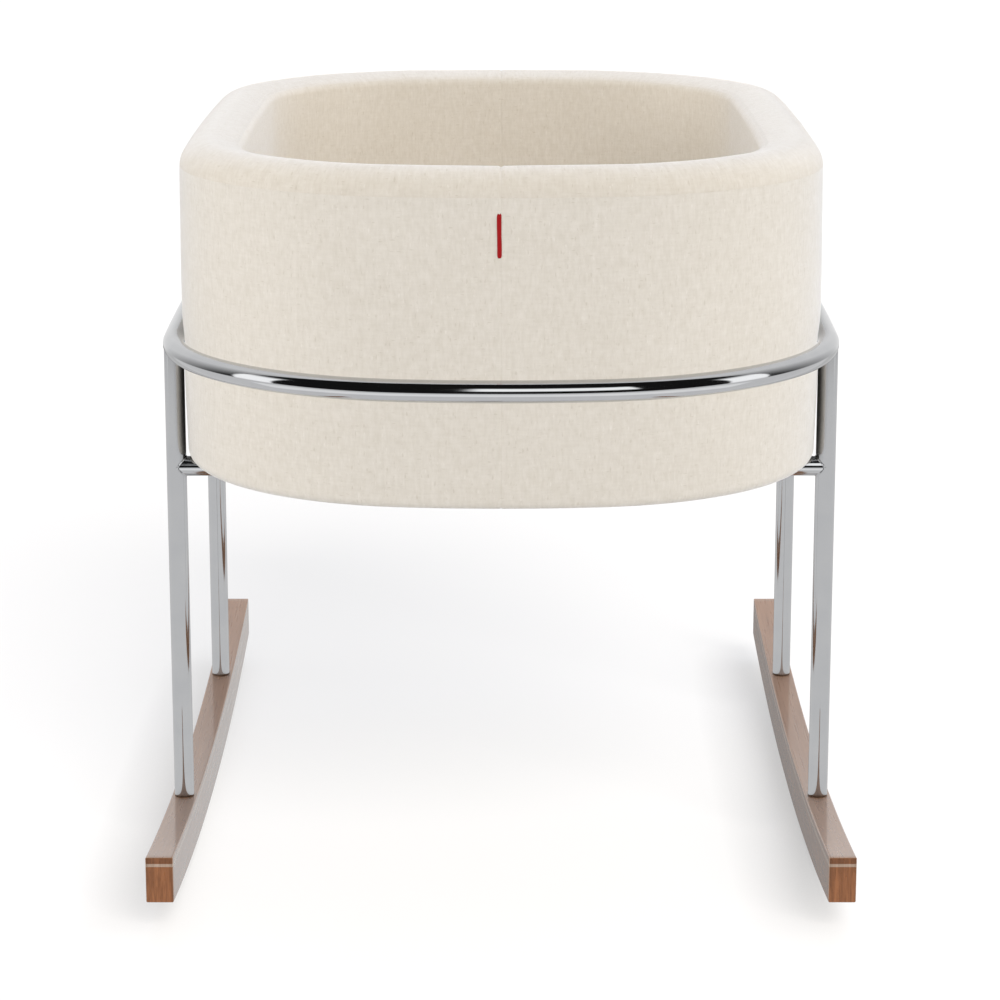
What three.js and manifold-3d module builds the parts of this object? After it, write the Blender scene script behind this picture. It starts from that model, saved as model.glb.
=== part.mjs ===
// A rocking bassinet: a padded tub held in a closed metal ring, on four legs and two laminated rockers.
// Millimetres, +Z up. The origin is on the floor under the middle of the tub, and the front is at -Y.

import * as THREE from 'three';
import { mergeVertices } from 'three/addons/utils/BufferGeometryUtils.js';
import Module from 'manifold-3d';

const wasm = await Module();
wasm.setup();

// Clearance kept between touching pieces, and how far a cut runs past the face it opens
const gap = 0.3;
const overrun = 3;

// Ring: its centre line in plan has bowed sides, round corners and slightly bowed ends
const ringHalfWidth = 292.8;
const ringHalfLength = 417.4;
const ringSideRadius = 9000;
const ringCornerRadius = 237.9;
const ringEndRadius = 681.3;
const ringHeight = 471.3;
const ringTube = 18.9;
const ringWall = 1.6;
const ringVent = 5;

// Legs and cross tubes are cut from one size of tube
const legHalfSpacing = 195;
const frameTube = 17.8;
const frameWall = 1.5;

// Rockers: a dark body, a pale stripe and a dark cap, bent to two arcs, with a short flat at the middle
const rockerLength = 835.8;
const rockerWidth = 23.3;
const rockerHeight = 43.2;
const rockerSoleRadius = 3117;
const rockerTopRadius = 3494;
const rockerFlat = 48;
const capThickness = 5.4;
const stripeThickness = 2.6;

// Leg fixing: a bolt from under the rocker into a plug in the foot of the leg
const plugLength = 28;
const legBolt = 8;
const legBoltHead = 13;
const legBoltHeadHeight = 8;
const legBoltHexFlats = 6;
const legBoltHexDepth = 4;
const legBoltGrip = 18;
const legWasher = 16;
const legWasherThickness = 1.6;
const counterboreDepth = 14;

// Tub: heights, edges and how far its wall draws in from the ring to the rim and to the base
const tubBottom = 367.7;
const tubTop = 652.6;
const tubClearance = 0.5;
const rimOuterRadius = 23.5;
const rimDraw = 0.7;
const baseDraw = 2.4;
const baseEdgeRadius = 9;
const hemWidth = 36;

// Tub: layers of the padded wall, from outside to inside
const coverThickness = 1.2;
const outerFoamThickness = 10;
const shellThickness = 9;
const innerFoamThickness = 31.4;
const rimFoamHeight = 34;
const rimFoamSideHalfLength = 180;

// Tub: floor
const boardThickness = 12;
const linerThickness = 1;
const dustCoverThickness = 0.8;
const boardVent = 20;
const boardVentPitchX = 120;
const boardVentPitchY = 110;
const boardVentColumns = 2;
const boardVentRows = 4;

// Tub fixing: bolts up through the cross tubes into flanged nuts in the board
const tubBoltInset = 110;
const tubBolt = 6;
const tubBoltHead = 11;
const tubBoltHeadHeight = 3.4;
const tubBoltHexFlats = 4;
const tubBoltHexDepth = 2;
const saddleWasher = 15;
const saddleWasherThickness = 3;
const saddleWasherLap = 2;
const nutFlange = 19;
const nutFlangeThickness = 1.5;
const nutBarrel = 8.4;
const nutLength = 9;

// Fabric tab in the front seam
const tabPly = 1.6;
const tabSlit = 1;
const tabHeight = 36;
const tabReach = 7;
const tabDrop = 36;
const tabOffset = -1.4;

// Mattress: a foam core in a fitted sheet
const mattressClearance = 3;
const mattressThickness = 38;
const mattressEdgeRadius = 14;
const mattressCrown = 4;
const mattressCrownReach = 110;
const sheetThickness = 1;
const sheetTuck = 45;

// Facet counts
const sideSteps = 1;
const cornerSteps = 8;
const endSteps = 2;
const ringSides = 16;
const ringBoreSides = 10;
const tubeSides = 20;
const holeSides = 10;
const rockerSteps = 7;
const rimSteps = 4;
const edgeSteps = 2;
const crownSteps = 2;
const tabSteps = 6;

// Sizes and places that follow from the ones above
const ringRadius = ringTube / 2;
const frameRadius = frameTube / 2;
const tubInset = ringRadius + tubClearance;
const skin = coverThickness + gap;
const shellInset = skin + outerFoamThickness + gap;
const innerFoamInset = shellInset + shellThickness + gap;
const wallThickness = innerFoamInset + innerFoamThickness + skin;
const rimInnerRadius = wallThickness - rimDraw - rimOuterRadius;
const rimSeamHeight = tubTop - rimOuterRadius;
const rimFoamBottom = tubTop - rimFoamHeight;
const boardBottom = tubBottom + skin;
const boardTop = boardBottom + boardThickness;
const linerTop = boardTop + gap + linerThickness;
const crossTubeHeight = tubBottom - gap - frameRadius;

const quarter = quarterRays();
const legX = ringX(legHalfSpacing);
const tubBoltX = legX - tubBoltInset;

// Outline

// Rays of the first quarter of the outline: the arc centre, radius and direction of each point.
// The corner arc touches the side arc and the end arc from inside.
function quarterRays() {
  const side = new THREE.Vector2(ringHalfWidth - ringSideRadius, 0);
  const end = new THREE.Vector2(0, ringHalfLength - ringEndRadius);
  const fromSide = ringSideRadius - ringCornerRadius;
  const fromEnd = ringEndRadius - ringCornerRadius;
  const link = end.clone().sub(side);
  const apart = link.length();
  const along = (fromSide ** 2 - fromEnd ** 2 + apart ** 2) / (2 * apart);
  const across = Math.sqrt(fromSide ** 2 - along ** 2);
  link.normalize();
  const corner = new THREE.Vector2(
    side.x + link.x * along - link.y * across,
    side.y + link.y * along + link.x * across,
  );
  const sideAngle = corner.clone().sub(side).angle();
  const endAngle = corner.clone().sub(end).angle();
  return [
    ...arcRays(side, ringSideRadius, 0, sideAngle, sideSteps),
    ...arcRays(corner, ringCornerRadius, sideAngle, endAngle, cornerSteps),
    ...arcRays(end, ringEndRadius, endAngle, Math.PI / 2, endSteps),
  ];
}

function arcRays(centre, radius, from, to, steps) {
  return Array.from({ length: steps }, (_, i) => {
    const angle = from + ((to - from) * (i + 1)) / steps;
    return { x: centre.x, y: centre.y, radius, angle };
  });
}

// Rays of the whole outline, counter-clockwise from just past the middle of the right-hand side.
function outlineRays() {
  const upper = [...quarter, ...quarter.slice(0, -1).reverse().map(mirrorX)];
  const right = { x: ringHalfWidth - ringSideRadius, y: 0, radius: ringSideRadius, angle: 0 };
  const left = mirrorX(right);
  const lower = upper.slice().reverse().map(mirrorY);
  return [right, ...upper, left, ...lower];
}

function mirrorX(ray) {
  return { ...ray, x: -ray.x, angle: Math.PI - ray.angle };
}

function mirrorY(ray) {
  return { ...ray, y: -ray.y, angle: -ray.angle };
}

// Plan point of a ray, moved inward from the ring's centre line.
function planPoint(ray, inset) {
  const reach = ray.radius - inset;
  return new THREE.Vector2(ray.x + reach * Math.cos(ray.angle), ray.y + reach * Math.sin(ray.angle));
}

// Half width of the ring's centre line at a distance from the middle of its side.
function ringX(y) {
  const arcHere = quarter.find((ray) => planPoint(ray, 0).y > y);
  return arcHere.x + Math.sqrt(arcHere.radius ** 2 - (y - arcHere.y) ** 2);
}

// Inset of the tub's outer wall at a height: least at the ring, more towards the rim and the base.
function wallInset(height) {
  if (height > ringHeight) {
    return (rimDraw * (height - ringHeight)) / (rimSeamHeight - ringHeight);
  }
  return (baseDraw * (ringHeight - height)) / (ringHeight - tubBottom - baseEdgeRadius);
}

// Solids

function geometryOf(positions, triangles) {
  const geometry = new THREE.BufferGeometry();
  geometry.setAttribute('position', new THREE.Float32BufferAttribute(positions, 3));
  geometry.setIndex(triangles);
  geometry.computeVertexNormals();
  return geometry;
}

// Closed geometry as a solid that can be joined and cut.
function solid(geometry) {
  const bare = geometry.clone();
  bare.deleteAttribute('normal');
  bare.deleteAttribute('uv');
  const merged = mergeVertices(bare);
  const corners = merged.index.array;
  const triangles = [];
  for (let i = 0; i < corners.length; i += 3) {
    const [a, b, c] = corners.slice(i, i + 3);
    if (a !== b && b !== c && c !== a) {
      triangles.push(a, b, c);
    }
  }
  const mesh = new wasm.Mesh({
    numProp: 3,
    vertProperties: new Float32Array(merged.attributes.position.array),
    triVerts: new Uint32Array(triangles),
  });
  return new wasm.Manifold(mesh);
}

// A geometry with others cut away from it.
function cut(geometry, cutters) {
  return geometryOfSolid(cutters.reduce((body, cutter) => body.subtract(solid(cutter)), solid(geometry)));
}

function geometryOfSolid(body) {
  const mesh = body.getMesh();
  return geometryOf(Array.from(mesh.vertProperties), Array.from(mesh.triVerts));
}

// The part of a geometry within a box, given by its lowest and highest corners.
function within(geometry, low, high) {
  const size = new THREE.Vector3().subVectors(high, low);
  const middle = new THREE.Vector3().addVectors(low, high).divideScalar(2);
  const box = new THREE.BoxGeometry(size.x, size.y, size.z).translate(middle.x, middle.y, middle.z);
  return geometryOfSolid(solid(geometry).intersect(solid(box)));
}

// Points of a profile: how far in from the tub's outer surface, and the height.
function point(inset, height) {
  return new THREE.Vector2(inset, height);
}

// Arc of a profile. Angle 0 faces out of the tub, and a quarter turn faces up.
function arc(centre, radius, from, to, steps) {
  return Array.from({ length: steps + 1 }, (_, i) => {
    const angle = from + ((to - from) * i) / steps;
    return point(centre.x - radius * Math.cos(angle), centre.y + radius * Math.sin(angle));
  });
}

// Grid of points and triangles made by carrying a profile round the outline.
function sweep(profile, baseInset, closed) {
  const rays = outlineRays();
  const positions = [];
  const triangles = [];
  const rows = profile.length;
  const spans = closed ? rows : rows - 1;
  rays.forEach((ray, k) => {
    const here = k * rows;
    const there = ((k + 1) % rays.length) * rows;
    profile.forEach((corner) => {
      const plan = planPoint(ray, baseInset + corner.x);
      positions.push(plan.x, plan.y, corner.y);
    });
    for (let j = 0; j < spans; j += 1) {
      const up = (j + 1) % rows;
      triangles.push(here + j, there + j, there + up, here + j, there + up, here + up);
    }
  });
  return { rays, positions, triangles };
}

// A closed profile carried round the outline: a ring, a wall or a cover with no ends.
function loopSweep(profile, baseInset = tubInset) {
  const ordered = THREE.ShapeUtils.isClockWise(profile) ? profile : profile.slice().reverse();
  const { positions, triangles } = sweep(ordered, baseInset, true);
  return geometryOf(positions, triangles);
}

// An open profile carried round the outline, closed by a flat cap below its start and above its end.
function cappedSweep(profile, baseInset = tubInset) {
  const { rays, positions, triangles } = sweep(profile, baseInset, false);
  const rows = profile.length;
  const last = rows - 1;
  const plan = rays.map((ray) => planPoint(ray, baseInset + profile[last].x));
  THREE.ShapeUtils.triangulateShape(plan, []).forEach(([a, b, c]) => {
    triangles.push(a * rows + last, b * rows + last, c * rows + last);
    triangles.push(a * rows, c * rows, b * rows);
  });
  return geometryOf(positions, triangles);
}

// A flat plate with the tub's outline.
function plate(inset, bottom, thickness) {
  return cappedSweep([point(inset, bottom), point(inset, bottom + thickness)]);
}

// Round solid about a vertical axis, from a profile of radius and height.
function turned(profile, sides) {
  const points = profile.map(([radius, height]) => new THREE.Vector2(radius, height));
  return new THREE.LatheGeometry(points, sides).rotateX(Math.PI / 2);
}

// Upright rod standing on a height, used for round pieces and for cutting holes.
function rod(diameter, bottom, top, sides = holeSides) {
  const height = top - bottom;
  return new THREE.CylinderGeometry(diameter / 2, diameter / 2, height, sides)
    .rotateX(Math.PI / 2)
    .translate(0, 0, bottom + height / 2);
}

// Upright round tube with open ends.
function tube(diameter, bore, bottom, top, sides) {
  const profile = [
    [bore / 2, bottom],
    [diameter / 2, bottom],
    [diameter / 2, top],
    [bore / 2, top],
    [bore / 2, bottom],
  ];
  return turned(profile, sides);
}

// Upright hexagonal prism, given across its flats.
function hexPrism(flats, bottom, top) {
  return rod(flats / Math.cos(Math.PI / 6), bottom, top, 6);
}

// Bolt with its head down and a hexagon socket in the head. It stands on the head's lower face.
function bolt(size) {
  const neck = size.bottom + size.headHeight;
  const profile = [
    [0, size.bottom],
    [size.head / 2, size.bottom],
    [size.head / 2, neck],
    [size.shank / 2, neck],
    [size.shank / 2, size.top],
    [0, size.top],
  ];
  const socket = hexPrism(size.hexFlats, size.bottom - overrun, size.bottom + size.hexDepth);
  return cut(turned(profile, holeSides), [socket]);
}

// Frame

function ringSection(radius, sides) {
  return arc(point(0, ringHeight), radius, 0, Math.PI * 2, sides).slice(0, -1);
}

function topRing() {
  const outside = loopSweep(ringSection(ringRadius, ringSides), 0);
  const bore = loopSweep(ringSection(ringRadius - ringWall, ringBoreSides), 0);
  const vents = legPlaces().map(([x, y]) => (
    rod(ringVent, ringHeight - ringTube, ringHeight).translate(x, y, 0)
  ));
  return cut(outside, [bore, ...vents]);
}

// Foot places of the four legs, left to right and front to rear.
function legPlaces() {
  return [
    [-legX, -legHalfSpacing],
    [legX, -legHalfSpacing],
    [-legX, legHalfSpacing],
    [legX, legHalfSpacing],
  ];
}

// Space taken by the ring, grown by the clearance, which copes the top of each leg.
function ringSpace() {
  return loopSweep(ringSection(ringRadius + gap, ringSides), 0);
}

function leg(x, y) {
  const blank = tube(frameTube, frameTube - 2 * frameWall, rockerTop(0) - overrun, ringHeight, tubeSides);
  return cut(blank.translate(x, y, 0), [ringSpace(), rockerSpace().translate(x, 0, 0)]);
}

// Tube across the tub's base, coped to the legs and drilled for the tub's bolts.
function crossTube(y) {
  const blank = tube(frameTube, frameTube - 2 * frameWall, -legX, legX, tubeSides)
    .rotateY(Math.PI / 2)
    .translate(0, y, crossTubeHeight);
  const top = crossTubeHeight + frameTube;
  const bottom = crossTubeHeight - frameTube;
  const legSpaces = [-legX, legX].map((x) => (
    rod(frameTube + 2 * gap, bottom, top, tubeSides).translate(x, y, 0)
  ));
  const holes = [-tubBoltX, tubBoltX].map((x) => (
    rod(tubBolt + 2 * gap, bottom, top).translate(x, y, 0)
  ));
  return cut(blank, [...legSpaces, ...holes]);
}

// Rockers

function rise(radius, y) {
  return radius - Math.sqrt(radius ** 2 - y ** 2);
}

function rockerTop(y) {
  return rockerHeight + rise(rockerTopRadius, y);
}

function rockerSole(y) {
  return Math.max(rise(rockerSoleRadius, y) - rise(rockerSoleRadius, rockerFlat / 2), 0);
}

// Places along a rocker where its arcs are drawn, with the flat between the middle two.
function rockerStations() {
  const reach = (rockerLength - rockerFlat) / 2;
  const half = Array.from({ length: rockerSteps + 1 }, (_, i) => rockerFlat / 2 + (reach * i) / rockerSteps);
  return [...half.slice().reverse().map((y) => -y), ...half];
}

// Bar between two curves, as wide as a rocker and centred on it.
function rockerBar(lower, upper) {
  const stations = rockerStations();
  const outline = [
    ...stations.map((y) => new THREE.Vector2(y, lower(y))),
    ...stations.slice().reverse().map((y) => new THREE.Vector2(y, upper(y))),
  ];
  const options = { depth: rockerWidth, bevelEnabled: false };
  const bar = new THREE.ExtrudeGeometry(new THREE.Shape(outline), options);
  const lengthwise = new THREE.Matrix4().makeBasis(
    new THREE.Vector3(0, 1, 0),
    new THREE.Vector3(0, 0, 1),
    new THREE.Vector3(1, 0, 0),
  );
  return bar.translate(0, 0, -rockerWidth / 2).applyMatrix4(lengthwise);
}

// Space taken by a rocker and the clearance above it, which trims the foot of each leg.
function rockerSpace() {
  return rockerBar(rockerSole, (y) => rockerTop(y) + gap);
}

function rockerHoles(diameter, top) {
  return [-legHalfSpacing, legHalfSpacing].map((y) => rod(diameter, -overrun, top).translate(0, y, 0));
}

function boltHoles() {
  return rockerHoles(legBolt + 2 * gap, rockerTop(rockerLength / 2));
}

function counterboreTop() {
  return rockerSole(legHalfSpacing) + counterboreDepth;
}

function rockerCap() {
  return cut(rockerBar((y) => rockerTop(y) - capThickness, rockerTop), boltHoles());
}

function rockerStripe() {
  const top = (y) => rockerTop(y) - capThickness - gap;
  return cut(rockerBar((y) => top(y) - stripeThickness, top), boltHoles());
}

function rockerBody() {
  const top = (y) => rockerTop(y) - capThickness - stripeThickness - 2 * gap;
  const counterbores = rockerHoles(legWasher + 2 * gap, counterboreTop());
  return cut(rockerBar(rockerSole, top), [...boltHoles(), ...counterbores]);
}

// Leg fixings

function plugBottom() {
  return rockerTop(legHalfSpacing + frameRadius) + gap;
}

function legPlug() {
  const diameter = frameTube - 2 * frameWall - 2 * gap;
  return tube(diameter, legBolt + 2 * gap, plugBottom(), plugBottom() + plugLength, holeSides);
}

function legWasherRing() {
  const top = counterboreTop() - gap;
  return tube(legWasher, legBolt + 2 * gap, top - legWasherThickness, top, holeSides);
}

function legBoltPiece() {
  const neck = counterboreTop() - gap - legWasherThickness - gap;
  return bolt({
    head: legBoltHead,
    headHeight: legBoltHeadHeight,
    hexFlats: legBoltHexFlats,
    hexDepth: legBoltHexDepth,
    shank: legBolt,
    bottom: neck - legBoltHeadHeight,
    top: plugBottom() + legBoltGrip,
  });
}

// Tub fixings

// Places of the four tub bolts, left to right and front to rear.
function tubBoltPlaces() {
  return [
    [-tubBoltX, -legHalfSpacing],
    [tubBoltX, -legHalfSpacing],
    [-tubBoltX, legHalfSpacing],
    [tubBoltX, legHalfSpacing],
  ];
}

// Washer hollowed to fit the underside of a cross tube.
function saddleWasherPiece() {
  const tubeBottom = crossTubeHeight - frameRadius;
  const blank = tube(
    saddleWasher,
    tubBolt + 2 * gap,
    tubeBottom - saddleWasherThickness,
    tubeBottom + saddleWasherLap,
    holeSides,
  );
  const tubeSpace = rod(frameTube + 2 * gap, -saddleWasher, saddleWasher, tubeSides)
    .rotateY(Math.PI / 2)
    .translate(0, 0, crossTubeHeight);
  return cut(blank, [tubeSpace]);
}

function tubBoltPiece() {
  const neck = crossTubeHeight - frameRadius - saddleWasherThickness - gap;
  return bolt({
    head: tubBoltHead,
    headHeight: tubBoltHeadHeight,
    hexFlats: tubBoltHexFlats,
    hexDepth: tubBoltHexDepth,
    shank: tubBolt,
    bottom: neck - tubBoltHeadHeight,
    top: boardTop - nutFlangeThickness,
  });
}

function flangedNut() {
  const top = boardTop - gap;
  const bore = tubBolt / 2 + gap;
  const profile = [
    [bore, top - nutLength],
    [nutBarrel / 2, top - nutLength],
    [nutBarrel / 2, top - nutFlangeThickness],
    [nutFlange / 2, top - nutFlangeThickness],
    [nutFlange / 2, top],
    [bore, top],
    [bore, top - nutLength],
  ];
  return turned(profile, holeSides);
}

// Tub floor

function baseBoard() {
  const nutSeat = boardTop - nutFlangeThickness - 2 * gap;
  const nutHoles = tubBoltPlaces().flatMap(([x, y]) => [
    rod(nutBarrel + 2 * gap, boardBottom - overrun, boardTop).translate(x, y, 0),
    rod(nutFlange + 2 * gap, nutSeat, boardTop + overrun).translate(x, y, 0),
  ]);
  return cut(plate(shellInset, boardBottom, boardThickness), [...nutHoles, ...boardVents()]);
}

// Round air holes in rows and columns about the middle of the board.
function boardVents() {
  const holes = [];
  for (let column = 0; column < boardVentColumns; column += 1) {
    for (let row = 0; row < boardVentRows; row += 1) {
      const x = (column - (boardVentColumns - 1) / 2) * boardVentPitchX;
      const y = (row - (boardVentRows - 1) / 2) * boardVentPitchY;
      holes.push(rod(boardVent, boardBottom - overrun, boardTop + overrun).translate(x, y, 0));
    }
  }
  return holes;
}

function floorLiner() {
  return plate(wallThickness + gap, boardTop + gap, linerThickness);
}

function dustCover() {
  const inset = baseDraw + baseEdgeRadius + hemWidth + gap;
  const holes = tubBoltPlaces().map(([x, y]) => (
    rod(tubBolt + 2 * gap, tubBottom - overrun, boardBottom).translate(x, y, 0)
  ));
  return cut(plate(inset, tubBottom, dustCoverThickness), holes);
}

// Tub wall

function wallShell() {
  return loopSweep([
    point(shellInset, boardTop + gap),
    point(shellInset, rimFoamBottom - gap),
    point(shellInset + shellThickness, rimFoamBottom - gap),
    point(shellInset + shellThickness, boardTop + gap),
  ]);
}

function innerFoam() {
  return loopSweep([
    point(innerFoamInset, boardTop + gap),
    point(innerFoamInset, rimFoamBottom - gap),
    point(wallThickness - skin, rimFoamBottom - gap),
    point(wallThickness - skin, boardTop + gap),
  ]);
}

// Rounded edge between the wall and the base, drawn in by a depth under the cover's surface.
function baseEdge(depth) {
  const centre = point(baseDraw + baseEdgeRadius, tubBottom + baseEdgeRadius);
  return arc(centre, baseEdgeRadius - depth, -Math.PI / 2, 0, edgeSteps);
}

// Rounded rim from its outer face over to its inner face, drawn in by a depth under the surface.
function rimCurve(depth) {
  const outer = point(rimDraw + rimOuterRadius, tubTop - rimOuterRadius);
  const inner = point(wallThickness - rimInnerRadius, tubTop - rimInnerRadius);
  return [
    ...arc(outer, rimOuterRadius - depth, 0, Math.PI / 2, rimSteps),
    ...arc(inner, rimInnerRadius - depth, Math.PI / 2, Math.PI, rimSteps).slice(1),
  ];
}

function outerFoam() {
  const top = rimFoamBottom - gap;
  const back = shellInset - gap;
  return loopSweep([
    ...baseEdge(skin),
    point(skin, ringHeight),
    point(wallInset(top) + skin, top),
    point(back, top),
    point(back, tubBottom + skin),
  ]);
}

// Foam under the rounded rim. Two straight strips lie along the sides, and two bent ones round the ends.
function rimFoam() {
  return loopSweep([
    point(wallInset(rimFoamBottom) + skin, rimFoamBottom),
    ...rimCurve(skin),
    point(wallThickness - skin, rimFoamBottom),
  ]);
}

// Strip of the rim foam along one side, -1 for the left and 1 for the right.
function sideRimFoam(side) {
  const inner = side * (ringHalfWidth - 2 * wallThickness);
  const outer = side * (ringHalfWidth + overrun);
  const low = new THREE.Vector3(Math.min(inner, outer), -rimFoamSideHalfLength, rimFoamBottom - overrun);
  const high = new THREE.Vector3(Math.max(inner, outer), rimFoamSideHalfLength, tubTop);
  return within(rimFoam(), low, high);
}

// Strip of the rim foam round one end, -1 for the front and 1 for the rear.
function endRimFoam(end) {
  const inner = end * (rimFoamSideHalfLength + gap);
  const outer = end * (ringHalfLength + overrun);
  const low = new THREE.Vector3(-ringHalfWidth, Math.min(inner, outer), rimFoamBottom - overrun);
  const high = new THREE.Vector3(ringHalfWidth, Math.max(inner, outer), tubTop);
  return within(rimFoam(), low, high);
}

// Fabric of the outer wall, turned in under the base as a hem, with a slit for the tab.
function outerCover() {
  const top = rimSeamHeight - gap;
  const hemInset = baseDraw + baseEdgeRadius + hemWidth;
  const cover = loopSweep([
    point(hemInset, tubBottom),
    ...baseEdge(0),
    point(0, ringHeight),
    point(wallInset(top), top),
    point(wallInset(top) + coverThickness, top),
    point(coverThickness, ringHeight),
    ...baseEdge(coverThickness).reverse(),
    point(hemInset, tubBottom + coverThickness),
  ]);
  const front = ringHalfLength - tubInset;
  const slit = new THREE.BoxGeometry(tabWidth() + 2 * gap, 2 * skin + 2 * overrun, tabHeight + 2 * gap)
    .translate(tabOffset, -front, tabMiddle());
  return cut(cover, [slit]);
}

// Fabric of the rim and the inner wall, from the seam below the rim to the tub's floor.
function rimLining() {
  const bottom = boardTop + gap;
  return loopSweep([
    ...rimCurve(0),
    point(wallThickness, bottom),
    point(wallThickness - coverThickness, bottom),
    ...rimCurve(coverThickness).reverse(),
  ]);
}

// Tab

function tabWidth() {
  return 2 * tabPly + tabSlit;
}

function tabMiddle() {
  return tubTop - tabDrop - tabHeight / 2;
}

// Ribbon folded into a loop, with its fold at the front and its ends in the seam.
function seamTab() {
  const root = ringHalfLength - tubInset - coverThickness;
  const fold = ringHalfLength - tubInset + tabReach - tabWidth() / 2;
  const outline = new THREE.Shape();
  outline.moveTo(tabWidth() / 2, -root);
  outline.lineTo(tabSlit / 2, -root);
  outline.lineTo(tabSlit / 2, -fold);
  outline.absarc(0, -fold, tabSlit / 2, 0, -Math.PI, true);
  outline.lineTo(-tabSlit / 2, -root);
  outline.lineTo(-tabWidth() / 2, -root);
  outline.lineTo(-tabWidth() / 2, -fold);
  outline.absarc(0, -fold, tabWidth() / 2, Math.PI, Math.PI * 2, false);
  outline.closePath();
  const options = { depth: tabHeight, bevelEnabled: false, curveSegments: tabSteps };
  return new THREE.ExtrudeGeometry(outline, options)
    .translate(tabOffset, 0, tabMiddle() - tabHeight / 2);
}

// Mattress

// Half section of the mattress from its underside round its edge to the crown, drawn in by a depth.
function mattressProfile(depth, underInset) {
  const edge = wallThickness + mattressClearance;
  const bottom = linerTop + gap;
  const radius = mattressEdgeRadius;
  const low = point(edge + radius, bottom + radius);
  const high = point(edge + radius, bottom + mattressThickness - radius);
  const crown = Array.from({ length: crownSteps }, (_, i) => {
    const share = (i + 1) / crownSteps;
    const lift = mattressCrown * (1 - (1 - share) ** 2);
    return point(edge + radius + mattressCrownReach * share, high.y + radius - depth + lift);
  });
  return [
    point(edge + underInset, bottom + depth),
    ...arc(low, radius - depth, -Math.PI / 2, 0, edgeSteps),
    ...arc(high, radius - depth, 0, Math.PI / 2, edgeSteps),
    ...crown,
  ];
}

function mattressCore() {
  return cappedSweep(mattressProfile(sheetThickness + gap, sheetTuck));
}

// Fitted sheet over the mattress, tucked under its edge and open below.
function mattressSheet() {
  return cappedSweep([
    ...mattressProfile(sheetThickness, sheetTuck).reverse(),
    ...mattressProfile(0, sheetTuck),
  ]);
}

// Materials

function chrome() {
  return new THREE.MeshStandardMaterial({ color: 0xc9ccd0, roughness: 0.08, metalness: 1 });
}

function walnut() {
  return new THREE.MeshStandardMaterial({ color: 0x8a5f45, roughness: 0.5, metalness: 0 });
}

function maple() {
  return new THREE.MeshStandardMaterial({ color: 0xdcc9b8, roughness: 0.5, metalness: 0 });
}

function plywood() {
  return new THREE.MeshStandardMaterial({ color: 0xc9a877, roughness: 0.7, metalness: 0 });
}

function linen() {
  return new THREE.MeshStandardMaterial({ color: 0xded7ca, roughness: 0.95, metalness: 0 });
}

function cotton() {
  return new THREE.MeshStandardMaterial({ color: 0xf1efe9, roughness: 0.95, metalness: 0 });
}

function foam() {
  return new THREE.MeshStandardMaterial({ color: 0xe9dfb8, roughness: 1, metalness: 0 });
}

function blackCloth() {
  return new THREE.MeshStandardMaterial({ color: 0x2a2a2a, roughness: 1, metalness: 0 });
}

function redRibbon() {
  return new THREE.MeshStandardMaterial({ color: 0xa52323, roughness: 0.8, metalness: 0 });
}

function zincSteel() {
  return new THREE.MeshStandardMaterial({ color: 0xb4b6b8, roughness: 0.35, metalness: 1 });
}

// Assembly

const corners = ['front_left', 'front_right', 'rear_left', 'rear_right'];
const bassinet = new THREE.Group();

function add(name, geometry, material, x = 0, y = 0) {
  const mesh = new THREE.Mesh(geometry, material);
  mesh.name = name;
  mesh.position.set(x, y, 0);
  bassinet.add(mesh);
}

function addFrame() {
  add('top_ring', topRing(), chrome());
  legPlaces().forEach(([x, y], i) => add(`leg_${corners[i]}`, leg(x, y), chrome()));
  add('cross_tube_front', crossTube(-legHalfSpacing), chrome());
  add('cross_tube_rear', crossTube(legHalfSpacing), chrome());
}

function addRockers() {
  [['left', -legX], ['right', legX]].forEach(([side, x]) => {
    add(`rocker_body_${side}`, rockerBody(), walnut(), x);
    add(`rocker_stripe_${side}`, rockerStripe(), maple(), x);
    add(`rocker_cap_${side}`, rockerCap(), walnut(), x);
  });
}

function addFixings() {
  legPlaces().forEach(([x, y], i) => {
    add(`leg_plug_${corners[i]}`, legPlug(), zincSteel(), x, y);
    add(`leg_washer_${corners[i]}`, legWasherRing(), zincSteel(), x, y);
    add(`leg_bolt_${corners[i]}`, legBoltPiece(), zincSteel(), x, y);
  });
  tubBoltPlaces().forEach(([x, y], i) => {
    add(`tub_washer_${corners[i]}`, saddleWasherPiece(), zincSteel(), x, y);
    add(`tub_bolt_${corners[i]}`, tubBoltPiece(), zincSteel(), x, y);
    add(`tub_nut_${corners[i]}`, flangedNut(), zincSteel(), x, y);
  });
}

function addTub() {
  add('dust_cover', dustCover(), blackCloth());
  add('base_board', baseBoard(), plywood());
  add('floor_liner', floorLiner(), linen());
  add('wall_shell', wallShell(), plywood());
  add('outer_foam', outerFoam(), foam());
  add('inner_foam', innerFoam(), foam());
  add('rim_foam_left', sideRimFoam(-1), foam());
  add('rim_foam_right', sideRimFoam(1), foam());
  add('rim_foam_front', endRimFoam(-1), foam());
  add('rim_foam_rear', endRimFoam(1), foam());
  add('outer_cover', outerCover(), linen());
  add('rim_lining', rimLining(), linen());
  add('seam_tab', seamTab(), redRibbon());
}

function addMattress() {
  add('mattress_core', mattressCore(), foam());
  add('mattress_sheet', mattressSheet(), cotton());
}

addFrame();
addRockers();
addFixings();
addTub();
addMattress();

export default bassinet;
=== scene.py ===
"""Looks of a rocking bassinet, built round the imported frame. Lengths are in millimetres until a mesh is made,
but materials, the camera and the cloth settings are in metres."""

import math

import bmesh
import bpy
import numpy as np
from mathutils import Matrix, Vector, noise


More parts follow.
